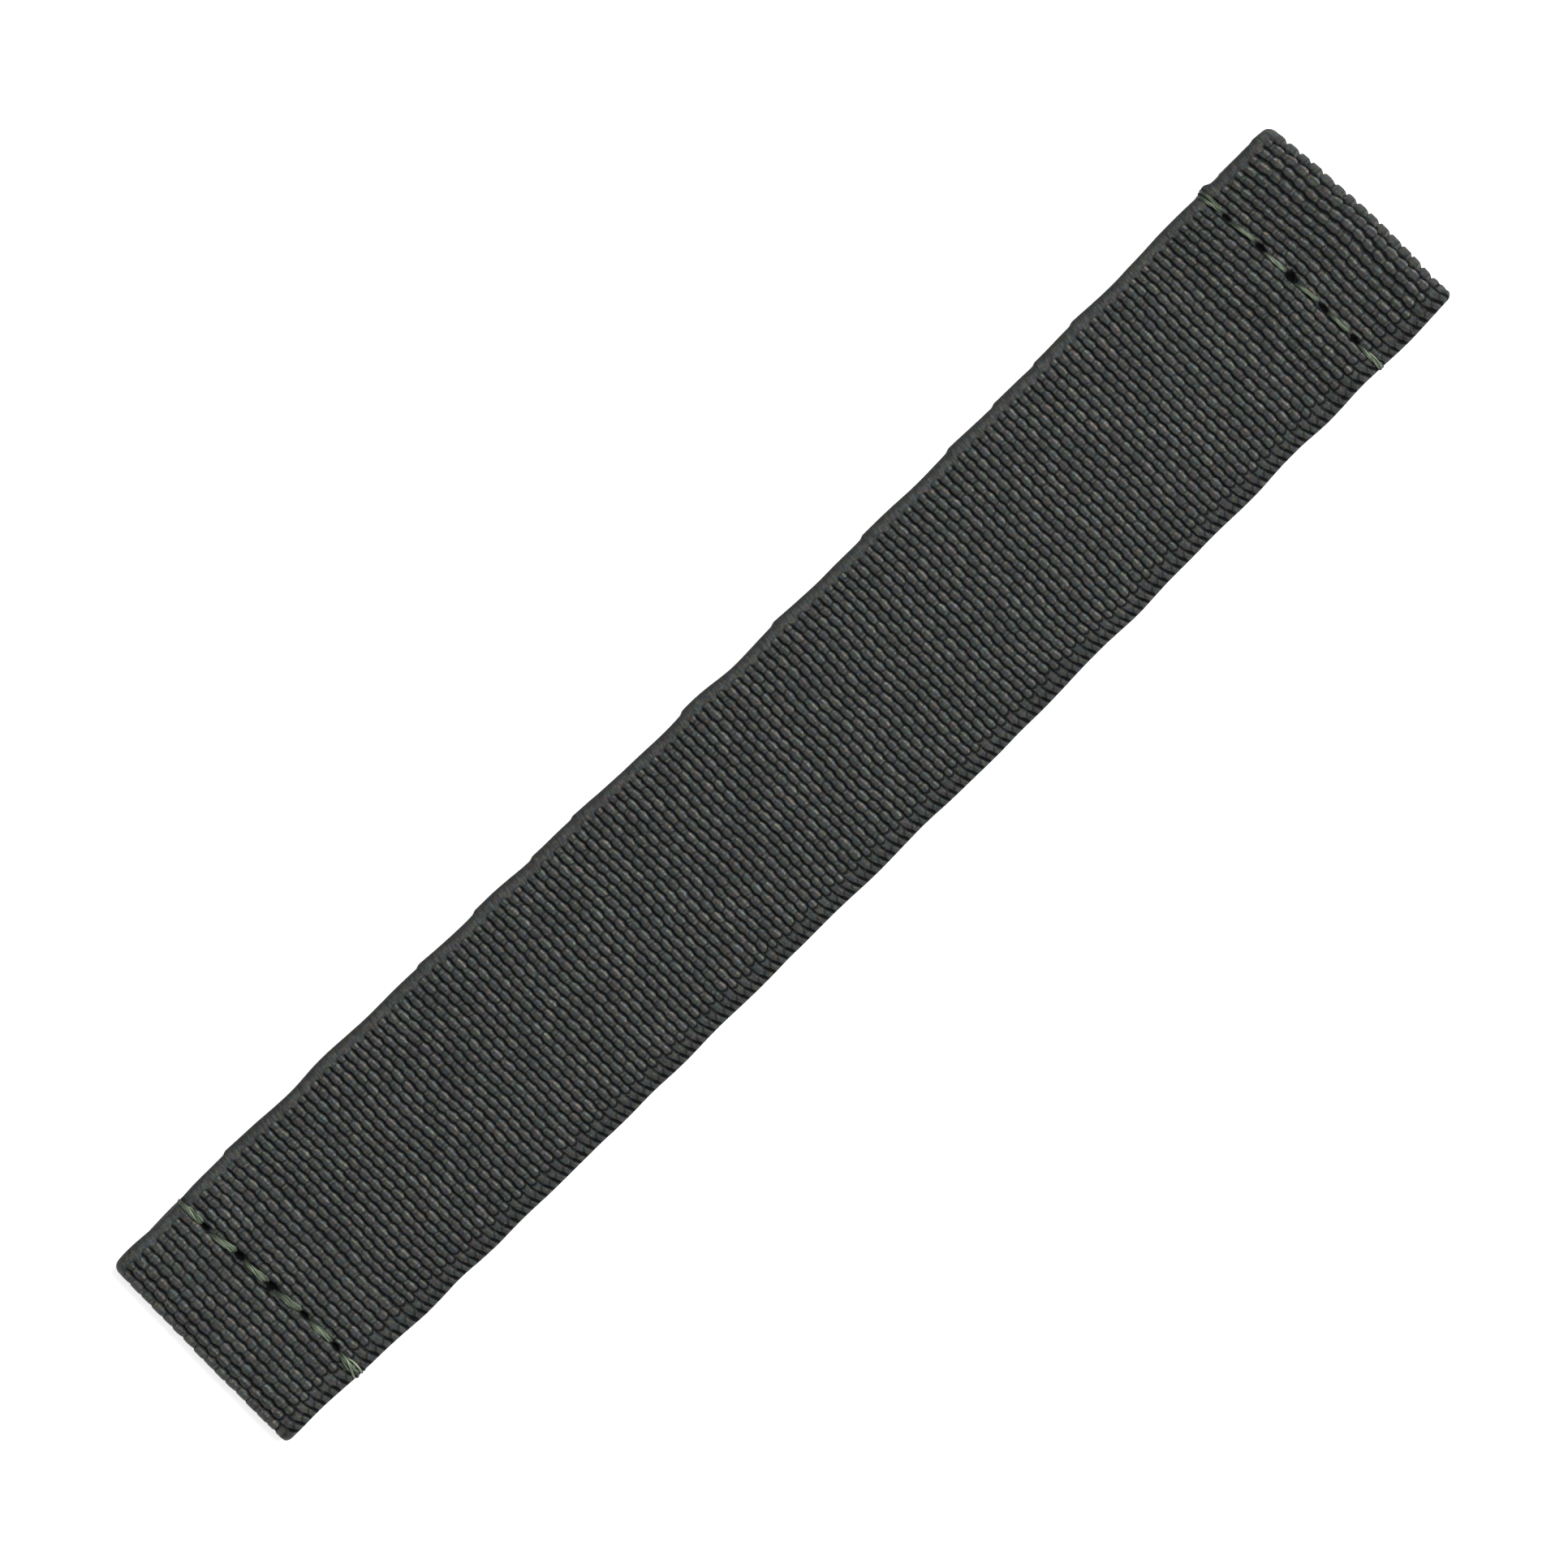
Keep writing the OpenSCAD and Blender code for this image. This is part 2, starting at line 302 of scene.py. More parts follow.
def step_out(x):
    """How far the rolled edge stands out: a short rise toward +X at each step, then a long fall"""
    out = 0 * x
    for start in EDGE_STEPS:
        past = x - start
        fall = np.clip(1 - (past - STEP_START) / STEP_FADE, 0, 1)
        out = np.maximum(out, smooth_step(past, 0, STEP_START) * fall)
    place, height, spread = EDGE_BUMP
    return STEP_RISE * out - STEP_RISE / 3 + height * np.exp(-((x - place) / spread) ** 2)


def settle(x, y, z):
    """Moves points from the straight band to where they lie on the real one"""
    upper = table(UPPER_EDGE, x)
    lower = table(LOWER_EDGE, x)
    rise_from, rise_to, fall_from, fall_to = TILT_RAMPS
    tilt = math.tan(math.radians(RIB_TILT))
    tilt = tilt * smooth_step(x, rise_from, rise_to) * smooth_step(-x, -fall_to, -fall_from)
    high = np.clip((y - CURL_LOW) / (HALF_W - CURL_LOW), 0, 1)
    curl = CURL * smooth_step(x, CURL_START, HALF_LEN) * high ** CURL_POWER
    bulge = smooth_step(-x, HALF_LEN - BULGE_REACH[0], HALF_LEN - BULGE_REACH[1])
    bulge = FOLD_BULGE * (y / HALF_W) ** 2 * bulge
    roll = smooth_step(y, ROLL_START, HALF_W) * (step_out(x) + EDGE_RIPPLE * edge_ripple(x, 0 * x))
    middle = (upper + lower) / 2
    return x - y * tilt - curl + bulge, middle + y * (upper - lower) / (2 * HALF_W) + roll, z


# Places across the band, from the beaded selvedge at -Y to the rolled one at +Y
def selvedge(inner, radius, flat_steps, turn_steps):
    """Distances from the middle out to a selvedge, and the half thickness there as a share"""
    flat_end = HALF_W - radius
    flat = np.linspace(inner, flat_end, flat_steps + 1)[1:]
    turn = np.linspace(0, math.pi / 2, turn_steps + 1)[1:]
    places = np.concatenate([flat, flat_end + radius * np.sin(turn)])
    return places, np.concatenate([np.ones(flat_steps), np.cos(turn)])


def band_columns():
    """Columns of points across the band, closest where the beads of every other rib meet"""
    halves = range(math.floor(2 * WEAVE_LOW / BEAD), math.ceil(2 * WEAVE_HIGH / BEAD))
    middle = np.array([(half / 2 + part) * BEAD for half in halves for part in HALF_BEAD_PARTS])
    middle = middle[(middle > WEAVE_LOW) & (middle < WEAVE_HIGH)]
    beaded, beaded_share = selvedge(-middle[0], EDGE_R, flat_steps=8, turn_steps=6)
    rolled, rolled_share = selvedge(middle[-1], ROLL_R, flat_steps=4, turn_steps=9)
    ys = np.concatenate([-beaded[::-1], middle, rolled])
    share = np.concatenate([beaded_share[::-1], np.ones(len(middle)), rolled_share])
    return ys, share


FACE_Y, FACE_SHARE = band_columns()
LOOP_Y = np.concatenate([FACE_Y, FACE_Y[-2::-1]])
LOOP_H = MID_T * np.concatenate([FACE_SHARE, -FACE_SHARE[-2::-1]])
LOOP_SIDE = np.concatenate([np.ones(len(FACE_Y)), -np.ones(len(FACE_Y) - 1)])
LOOP_OUT_Y = -np.gradient(LOOP_H)
LOOP_OUT_H = np.gradient(LOOP_Y)
LOOP_OUT_Y[[0, -1]] = -1
LOOP_OUT_H[[0, -1]] = 0
LOOP_OUT = np.hypot(LOOP_OUT_Y, LOOP_OUT_H)
LOOP_OUT_Y = LOOP_OUT_Y / LOOP_OUT
LOOP_OUT_H = LOOP_OUT_H / LOOP_OUT


# Grooves between the ribs, as distances from the middle of the strap along the band
def hem_grooves(side, half):
    """Grooves of one hem, from the cut end to the links, with one broad rib round the fold"""
    low, high = (ROUTE_S[1] + FOLD_R * math.radians(90 + angle) for angle in FOLD_RIB)
    tail = np.linspace(0, low, round(low / HEM_RIB[side]) + 1)
    face = np.linspace(high, HALF_S - half, 400)
    reach = np.interp(face, ROUTE_S, ROUTE[:, 0] + MID_T * np.cos(np.radians(ROUTE[:, 2])))
    opening = 1 + FOLD_OPENING[side] * (1 - smooth_step(reach, 2, 5))
    even = np.concatenate([[0], np.cumsum(np.diff(reach) / opening[1:])])
    ribs = round(even[-1] / HEM_RIB[side])
    return HALF_S - np.concatenate([tail, np.interp(np.linspace(0, even[-1], ribs + 1), even, face)])


def rib_grooves():
    ribs = (RIBS_A_BEND + RIBS_A_STRETCH) * (2 * LINKS_A_SIDE + 1)
    half = LINK_LEN * (LINKS_A_SIDE + 0.5)
    left = -hem_grooves("left", half)
    right = hem_grooves("right", half)[::-1]
    return np.concatenate([left[:-1], np.linspace(-half, half, ribs + 1), right[1:]])


def scatter(spread, limit, size):
    """Random values round 0, cut off at a limit"""
    return np.clip(dice.normal(0, spread, size), -limit, limit)


GROOVES = rib_grooves()
RIBS = len(GROOVES) - 1
BEADS_ACROSS = 24
# The broad rib round each fold has a flatter top than the others
FLATNESS = np.where(np.diff(GROOVES) > 2 * HEM_RIB["left"], 3, 1)
GROOVE_JITTER = scatter(0.02, 0.045, RIBS + 1)
RIB_SHIFT = scatter(0.07, 0.15, RIBS + 1)
RIB_END = scatter(0.05, 0.1, RIBS + 1)
RIB_SWAY = dice.uniform(0, 2 * math.pi, (len(SWAY_LENS), RIBS + 2))
BEAD_RISE = scatter(0.025, 0.05, (2, RIBS + 1, BEADS_ACROSS))


def bead_sway(rib, y):
    """How far the beads of a rib stray from their even spacing, in beads"""
    waves = [np.sin(2 * math.pi * y / length + RIB_SWAY[i, rib]) for i, length in enumerate(SWAY_LENS)]
    return SWAY * sum(waves)


def bead_phase(rib, y, side):
    """Position across the band in beads: a rib is widest at whole numbers, and has its necks half way"""
    odd = rib % 2
    phase = y / BEAD - (0.5 + NECK_SKEW) * odd - 0.25 * (1 - side) + bead_sway(rib, y)
    skew = NECK_SKEW / math.cos(math.pi * NECK_SKEW) * (1 - 2 * odd)
    return phase - skew * np.cos(math.pi * (phase - np.rint(phase)))


def over_weave(y, outside, inside):
    """1 over the weave and 0 beyond it, fading between a distance outside its borders and one inside"""
    low = smooth_step(y, WEAVE_LOW - outside, WEAVE_LOW + inside)
    return low * smooth_step(-y, -WEAVE_HIGH - outside, inside - WEAVE_HIGH)


def on_beads(rib, y, side):
    """Moves a column of points so that it keeps its place on the beads of a rib"""
    aim = y / BEAD - 0.5 * (rib % 2) - 0.25 * (1 - side)
    moved = y
    for _ in range(6):
        moved = moved + BEAD * (aim - bead_phase(rib, moved, side))
    return y + (moved - y) * over_weave(y, 0, 0.8)


def groove_line(groove, y, side):
    """Where a groove runs along the band: it winds between the beads of its two ribs"""
    wave = RIB_WAVE * np.cos(2 * math.pi * bead_phase(groove - 1, y, side)) * over_weave(y, 0.1, 0.5)
    lean = math.tan(math.radians(EDGE_LEANS[0])) * np.clip(WEAVE_LOW - y, 0, WEAVE_LOW - LAST_BEAD)
    lean = lean + math.tan(math.radians(EDGE_LEANS[1])) * np.clip(LAST_BEAD - y, 0, None)
    return GROOVES[groove] + GROOVE_JITTER[groove] + wave + lean


def gaping(s):
    """How far the ribs stand apart, which they do where the band turns round the fold"""
    along = HALF_S - np.abs(s)
    rise_from, rise_to, fall_from, fall_to = GAPE_RAMPS
    fold = smooth_step(along, rise_from, rise_to) * (1 - smooth_step(along, fall_from, fall_to))
    return fold * np.where(s < 0, GAPE["left"], GAPE["right"])


def crease_at(off_line, half_width, reach=1.2):
    """A crease along a line: 1 in its middle, falling to 0 a little past its half width"""
    return np.clip(reach - off_line / half_width, 0, 1)


def weave_relief(rib, t, y, side, gape):
    """Depth of the weave below the band's outer surface, and marks for the finish"""
    stagger = EDGE_STAGGER * (2 * (rib % 2) - 1)
    crown = 2 * t - 1
    crown = np.sign(crown) * np.abs(crown) ** FLATNESS[rib]
    crest = (1 - np.clip(np.abs(crown) * (1 + GAPE_PINCH * gape), 0, 1) ** CREST_POWER) ** CREST_ROUND
    top = y - (WEAVE_HIGH + stagger + (TIP_RISE - stagger) * crown ** 2)
    woven = 1 - smooth_step(top, *ROLL_FADE)
    phase = bead_phase(rib, y, side)
    bead = np.rint(phase).astype(int)
    off = 2 * np.abs(phase - bead)
    crease = crease_at((1 - off) * BEAD / 2, CREASE_HALF)
    collar = np.abs((phase - bead) * (2 * (rib % 2) - 1) - COLLAR) * BEAD
    crease = np.maximum(crease, COLLAR_CREASE * crease_at(collar, CREASE_HALF, 1.1))
    # The beaded selvedge has one long flat bead and one short slanted one to each rib
    line_1 = WEAVE_LOW + stagger + END_ARCH * crown ** 2
    line_2 = SLANT_LINE + SLANT_RISE * (t - 0.5) + RIB_END[rib]
    edge = 1 - smooth_step(y, line_1 - LINE_SOFT, line_1 + LINE_SOFT)
    crease_1 = crease_at(np.abs(y - line_1), CREASE_HALF)
    crease_2 = crease_at(np.abs(y - line_2), SLANT_HALF) * edge
    relief = (CREASE_DEPTH * crease + DOME_DEPTH * (1 + GAPE_DOME * gape) * off ** 4) * (1 - edge)
    relief = relief + CREASE_DEPTH * EDGE_CREASE * crease_1 + CREASE_DEPTH * SLANT_CREASE * crease_2
    face = (side < 0).astype(int)
    index = np.clip(bead + BEADS_ACROSS // 2, 0, BEADS_ACROSS - 1)
    brim = smooth_step(-y, HALF_W - BRIM, HALF_W)
    rise = BEAD_RISE[face, rib, index] * (1 - off * off) * (1 - brim)
    rib_depth = RIB_DEPTH * (1 - EDGE_FLAT * edge - BRIM_FLAT * brim)
    depth = woven * (rib_depth * (1 - crest) + crest * (relief - rise))
    marks = {
        "bead": np.stack([rib + (crown + 1) / 2, phase, y], axis=1),
        "roll": 1 - woven,
        "edge": edge,
        "slip": RIB_END[rib],
        "gape": gape,
        # How strong the painted shade is near the roll's brink
        "brink": smooth_step(y, HALF_W - BRINK, HALF_W),
    }
    return depth, marks


# The seams sink into the face and the back, with a pit at each needle hole and a pucker beside one
def seam_frame(side, x, y):
    """Where points of the straight band lie across and along a seam"""
    turn = math.radians(SEAM_TURN[side])
    dx = x - SIDES[side] * (HALF_LEN - SEAM_DIST[side])
    return dx * math.cos(turn) + y * math.sin(turn), y * math.cos(turn) - dx * math.sin(turn)


def from_seam(side, across, along):
    """x and y on the straight band, of points across and along a seam"""
    turn = math.radians(SEAM_TURN[side])
    x = across * math.cos(turn) - along * math.sin(turn) + SIDES[side] * (HALF_LEN - SEAM_DIST[side])
    return x, along * math.cos(turn) + across * math.sin(turn)


def wander(side, along):
    """How far a seam strays from its straight line, from the -Y edge over the holes to the +Y edge"""
    return np.interp(along, [-HALF_W, *HOLES, HALF_W], SEAM_WANDER[side])


def seam_relief(x, y, z, side_sign):
    """Depth that the stitches press into the band, and where painted shade darkens the pits at the holes"""
    press = np.zeros_like(x)
    pit = np.zeros_like(x)
    for side in SIDES:
        across, along = seam_frame(side, x, y)
        along = along - SEAM_SHIFT[side]
        across = across - wander(side, along)
        near = np.exp(-(across / SEAM_DIP[0]) ** 2)
        lean = STITCH_LEAN * (2 * ((along / STITCH) % 1) - 1)
        under = np.exp(-((across - lean * (z > FACE_Z)) / STITCH_DIP[0]) ** 2)
        press = press + SEAM_DIP[1] * near + STITCH_DIP[1] * under
        for hole, size in zip(HOLES, PIT_SIZE[side]):
            spot = (across / HOLE_DIP[0]) ** 2 + ((along - hole) / HOLE_DIP[1]) ** 2
            spot = np.exp(-spot / size ** 2)
            press = press + HOLE_DIP[2] * spot
            # Each hole's pit takes painted shade
            pit = pit + spot
        off_across = (across - PUCKER[side][0]) / PUCKER_DIP[0]
        off_along = (along - PUCKER[side][1]) / PUCKER_DIP[1]
        pucker = np.exp(-off_across ** 2 - off_along ** 2)
        press = press + PUCKER_DIP[2] * pucker * (z > FACE_Z)
        # The pucker's dip gets painted shade as well
        pit = pit + PUCKER_SHADE * pucker * (z > FACE_Z)
    outward = ((z > FACE_Z) | (z < MID_T)) & (side_sign > 0)
    return np.minimum(press, PRESS_LIMIT) * outward, np.clip(pit, 0, 1) * outward


# Tubes: the webbing's pieces, the plies, the cores and the picks are all made as closed tubes
WELD = 0.0001


def tube_mesh(name, rows, loop, shape):
    """A grid whose points shape() places and marks by row and column, welded along its length and capped"""
    mesh = bpy.data.meshes.new(name)
    bm = bmesh.new()
    bmesh.ops.create_grid(bm, x_segments=rows, y_segments=loop, size=1)
    bm.to_mesh(mesh)
    bm.free()
    flat = np.empty(len(mesh.vertices) * 3)
    mesh.vertices.foreach_get("co", flat)
    flat = flat.reshape(-1, 3)
    row = np.rint((flat[:, 0] + 1) / 2 * rows).astype(int)
    column = np.rint((flat[:, 1] + 1) / 2 * loop).astype(int)
    places, marks = shape(row, column)
    mesh.vertices.foreach_set("co", (places * MM).ravel())
    for mark, values in marks.items():
        kind, field = ("FLOAT_VECTOR", "vector") if values.ndim == 2 else ("FLOAT", "value")
        layer = mesh.attributes.new(mark, kind, "POINT")
        layer.data.foreach_set(field, values.astype(np.float32).ravel())
    bm = bmesh.new()
    bm.from_mesh(mesh)
    bm.verts.ensure_lookup_table()
    seam = [bm.verts[i] for i in np.nonzero((column == 0) | (column == loop))[0]]
    bmesh.ops.remove_doubles(bm, verts=seam, dist=WELD * MM)
    rims = [edge for edge in bm.edges if edge.is_boundary]
    for edge in rims:
        edge.smooth = False
    for face in bm.faces:
        face.smooth = True
    caps = bmesh.ops.holes_fill(bm, edges=rims, sides=0)["faces"]
    bmesh.ops.triangulate(bm, faces=caps)
    bmesh.ops.recalc_face_normals(bm, faces=bm.faces)
    bm.to_mesh(mesh)
    bm.free()
    piece = bpy.data.objects.new(name, mesh)
    bpy.context.scene.collection.objects.link(piece)
    return piece


def webbing_piece(name, first, last):
    """The webbing between two of its grooves"""
    stations = len(RIB_STATIONS)

    def shape(row, column):
        rib = np.minimum(first + row // stations, last - 1)
        t = np.array(RIB_STATIONS + (1.0,))[row - (rib - first) * stations]
        side = LOOP_SIDE[column]
        y = on_beads(rib, LOOP_Y[column], side)
        before = groove_line(rib, y, side)
        after = groove_line(rib + 1, y, side)
        s = before + t * (after - before)
        depth, looks = weave_relief(rib, t, y, side, gaping(s))
        shift = np.interp(s, GROOVES, RIB_SHIFT) * smooth_step(HALF_W - np.abs(y), *SHIFT_FADE)
        x, z = band_place(s, LOOP_H[column])
        press, pit = seam_relief(x, y, z, side)
        depth = np.maximum(depth + SWELL * swell(s, y), 0)
        # Only a pit, and only between two rubber cores, may go deeper than the cores lie
        beside_core = np.abs((LOOP_Y[column] / CORE_PITCH) % 1 - 0.5) * CORE_PITCH
        deeper = smooth_step(pit, *PIT_RAMP) * smooth_step(beside_core, *CORE_CLEAR)
        limit = SINK_LIMIT + PIT_DEEPER * deeper
        sunk = np.minimum(depth + press, limit)
        h = LOOP_H[column] - LOOP_OUT_H[column] * sunk
        y = y - LOOP_OUT_Y[column] * sunk + shift + DRIFT * drift_across(s, y)
        x, z = band_place(s + DRIFT * drift_along(s, y), h)
        marks = {"weave": np.stack([s, y, h], axis=1), "pit": pit, **looks}
        return np.stack(settle(x, y, z), axis=1), marks

    piece = tube_mesh(name, (last - first) * stations, len(LOOP_Y) - 1, shape)
    piece.data.materials.append(WEBBING)
    return piece


# Materials
def new_material(name):
    material = bpy.data.materials.new(name)
    material.use_nodes = True
    return material, material.node_tree, material.node_tree.nodes["Principled BSDF"]


def node(tree, kind, inputs, **settings):
    """Adds a shader node. Each input is a value, or an output of another node to link"""
    made = tree.nodes.new("ShaderNode" + kind)
    for key, value in settings.items():
        setattr(made, key, value)
    for key, value in inputs.items():
        if isinstance(value, bpy.types.NodeSocket):
            tree.links.new(value, made.inputs[key])
        else:
            made.inputs[key].default_value = value
    return made


def attribute(tree, name, output="Fac"):
    return node(tree, "Attribute", {}, attribute_name=name).outputs[output]


def scaled(tree, vector, scale):
    return node(tree, "Mapping", {"Vector": vector, "Scale": scale}).outputs[0]


def noise(tree, vector, scale, detail=2, output="Fac"):
    inputs = {"Vector": vector, "Scale": scale, "Detail": detail}
    return node(tree, "TexNoise", inputs).outputs[output]


def ramp(tree, value, low, high, start=0, stop=1):
    inputs = {"Value": value, "From Min": low, "From Max": high, "To Min": start, "To Max": stop}
    return node(tree, "MapRange", inputs).outputs[0]


def math_node(tree, operation, a, b):
    return node(tree, "Math", {0: a, 1: b}, operation=operation).outputs[0]


def mix(tree, share, a, b, blend="MIX"):
    inputs = {"Factor": share, "A": a, "B": b}
    made = tree.nodes.new("ShaderNodeMix")
    made.data_type = "RGBA"
    made.blend_type = blend
    sockets = {"Factor": made.inputs[0], "A": made.inputs[6], "B": made.inputs[7]}
    for key, value in inputs.items():
        if isinstance(value, bpy.types.NodeSocket):
            tree.links.new(value, sockets[key])
        elif key == "Factor":
            sockets[key].default_value = value
        else:
            sockets[key].default_value = (*value, 1)
    return made.outputs[2]


def times(tree, a, b):
    return math_node(tree, "MULTIPLY", a, b)


def plus(tree, a, b):
    return math_node(tree, "ADD", a, b)


def minus(tree, a, b):
    return math_node(tree, "SUBTRACT", a, b)


def larger(tree, a, b):
    return math_node(tree, "MAXIMUM", a, b)


def distance(tree, value, centre):
    return math_node(tree, "ABSOLUTE", minus(tree, value, centre), 0)


def cell_noise(tree, *cell):
    """A random value from 0 to 1 for each cell, given by its numbers"""
    numbers = node(tree, "CombineXYZ", dict(enumerate(cell))).outputs[0]
    return node(tree, "TexWhiteNoise", {"Vector": numbers}).outputs[0]


def finish(tree, shader, colour, relief, strength, depth_m):
    """Gives a material its colour and a bump from a pattern"""
    bump = node(tree, "Bump", {"Height": relief, "Strength": strength, "Distance": depth_m})
    tree.links.new(colour, shader.inputs["Base Color"])
    tree.links.new(bump.outputs[0], shader.inputs["Normal"])


def weave_patterns(tree):
    """Where a point lies on its rib and its bead, and the patterns that the finish is made from"""
    place = attribute(tree, "weave", "Vector")
    along, across, y = node(tree, "SeparateXYZ", {0: attribute(tree, "bead", "Vector")}).outputs
    rib = math_node(tree, "FLOOR", along, 0)
    bead = math_node(tree, "ROUND", across, 0)
    neck = math_node(tree, "FLOOR", across, 0)
    odd = math_node(tree, "MODULO", rib, 2)
    crown = ramp(tree, minus(tree, along, rib), 0, 1, -1, 1)
    lower = times(tree, minus(tree, across, bead), ramp(tree, odd, 0, 1, -1, 1))
    edge = attribute(tree, "edge")
    roll = attribute(tree, "roll")
    return SimpleNamespace(
        place=place,
        y=y,
        odd=odd,
        crown=crown,
        off_crown=math_node(tree, "ABSOLUTE", crown, 0),
        off_bead=ramp(tree, distance(tree, across, bead), 0, 0.5),
        lower=lower,
        collar=ramp(tree, lower, COLLAR, COLLAR + 0.05),
        edge=edge,
        roll=roll,
        inside=minus(tree, 1, larger(tree, edge, roll)),
        own=cell_noise(tree, rib, bead),
        tight=cell_noise(tree, rib, neck, 7),
        filaments=noise(tree, scaled(tree, place, (9, 1.3, 1.3)), 1, 3),
        speck=noise(tree, scaled(tree, place, (6, 4.5, 4.5)), 1, 2),
        ragged=noise(tree, place, 3.2, 1),
    )


def bead_colour(tree, at):
    """Yarn on the beads: a dull middle, and a painted highlight on each rib's +X side and its beads' ends
    """
    cloud = noise(tree, at.place, 0.12, 2)
    bands = noise(tree, scaled(tree, at.place, (1, 5, 1)), 1, 2)
    plain = minus(tree, 1, at.collar)
    yarn = mix(tree, at.own, (0.04, 0.044, 0.043), (0.058, 0.062, 0.059))
    yarn = mix(tree, ramp(tree, cloud, 0.3, 0.7, 0, 0.35), yarn, (0.044, 0.046, 0.045))
    yarn = mix(tree, ramp(tree, at.filaments, 0.6, 0.38, 0, 0.5), yarn, (0.018, 0.02, 0.0195))
    yarn = mix(tree, ramp(tree, at.speck, 0.56, 0.7, 0, 0.4), yarn, (0.13, 0.135, 0.12))
    dull = ramp(tree, distance(tree, at.crown, -0.1), 0.25, 0.04, 0, 0.48)
    yarn = mix(tree, times(tree, dull, plain), yarn, (0.03, 0.028, 0.025))
    # Painted highlight along the side of each rib that faces the key light, and round the ends of its beads
    painted_side_highlight = ramp(tree, distance(tree, at.crown, 0.4), 0.32, 0.06)
    painted_side_highlight = times(tree, painted_side_highlight, ramp(tree, at.own, 0, 1, 0.35, 1))
    painted_side_highlight = times(tree, painted_side_highlight, times(tree, plain, ramp(tree, at.off_bead, 1, 0.76)))
    painted_end_highlight = times(tree, at.collar, ramp(tree, at.crown, -0.8, 0.3, 0.14, 0.3))
    painted_highlight = times(tree, plus(tree, painted_side_highlight, painted_end_highlight), ramp(tree, at.speck, 0.34, 0.62, 0.2, 1))
    painted_highlight = times(tree, painted_highlight, ramp(tree, at.edge, 0, 1, 1, 0.2))
    # The painted highlight's light colour
    yarn = mix(tree, painted_highlight, yarn, (0.21, 0.216, 0.199))
    return mix(tree, ramp(tree, bands, 0.62, 0.4, 0, 0.4), yarn, (0.018, 0.019, 0.019))


def roll_colour(tree, at):
    """Yarn on the rolled selvedge, wound round it finely and at a slant"""
    turn = (0, 0, math.radians(ROLL_SLANT))
    slant = node(tree, "Mapping", {"Vector": at.place, "Rotation": turn}).outputs[0]
    wound = noise(tree, scaled(tree, slant, (7, 1.2, 1)), 1, 4)
    rolled = mix(tree, ramp(tree, wound, 0.3, 0.72), (0.022, 0.023, 0.023), (0.078, 0.082, 0.077))
    return mix(tree, ramp(tree, at.speck, 0.56, 0.4, 0, 0.5), rolled, (0.02, 0.021, 0.021))


def tinged(tree, at, colour, scale, low, high):
    """Shifts a colour between two tinges, in soft specks"""
    share = ramp(tree, noise(tree, scaled(tree, at.place, scale), 1, 2), 0.34, 0.66)
    return mix(tree, 1, colour, mix(tree, share, low, high), "OVERLAY")


def painted_groove_shade(tree, at):
    """Painted shade between the ribs, which reaches furthest in at the corners of the beads"""
    corner = ramp(tree, at.off_bead, 0.55, 1, 0, 0.16)
    corner = larger(tree, corner, ramp(tree, at.lower, 0.2, 0.4, 0, 0.12))
    wide = ramp(tree, attribute(tree, "gape"), 0, 1, 1, 1.04)
    wide = plus(tree, wide, times(tree, corner, at.inside))
    flare = ramp(tree, distance(tree, at.y, FLARE_LINE), 0.5, 0.15, -0.1, 0.3)
    wide = plus(tree, wide, times(tree, at.edge, flare))
    wide = plus(tree, wide, ramp(tree, at.ragged, 0.3, 0.7, -0.16, 0.16))
    dark = ramp(tree, times(tree, at.off_crown, wide), 0.53, 0.92, 0, 0.97)
    return times(tree, dark, minus(tree, 1, at.roll))


def painted_crease_shade(tree, at):
    """Painted shade where two beads of a rib meet, and along the collar between them"""
    crease = times(tree, ramp(tree, at.off_bead, 0.78, 0.98), ramp(tree, at.tight, 0, 1, 0.25, 0.75))
    upper = ramp(tree, distance(tree, at.lower, COLLAR), 0.085, 0.02)
    upper = times(tree, upper, ramp(tree, at.own, 1, 0, 0.15, 0.5))
    return times(tree, larger(tree, crease, upper), at.inside)


def painted_rib_end_shades(tree, at):
    """Painted shade in lines at the ends of each rib, out of step with the next rib's: one at the roll, two
    opposite
    """
    stagger = ramp(tree, at.odd, 0, 1, -EDGE_STAGGER, EDGE_STAGGER)
    arch_up = times(tree, times(tree, at.off_crown, at.off_crown), END_ARCH)
    tip = times(tree, arch_up, TIP_RISE / END_ARCH)
    rise = times(tree, stagger, minus(tree, 1, math_node(tree, "DIVIDE", arch_up, END_ARCH)))
    top = minus(tree, at.y, plus(tree, rise, tip))
    level = minus(tree, minus(tree, at.y, stagger), arch_up)
    slope = plus(tree, times(tree, at.crown, 0.28), attribute(tree, "slip"))
    slanted = distance(tree, minus(tree, at.y, slope), SLANT_LINE)
    return [
        ramp(tree, distance(tree, top, WEAVE_HIGH + 0.03), 0.12, 0.03, 0, 0.35),
        ramp(tree, distance(tree, level, WEAVE_LOW), 0.15, 0.06, 0, 0.85),
        times(tree, ramp(tree, slanted, 0.14, 0.03, 0, 0.6), at.edge),
    ]


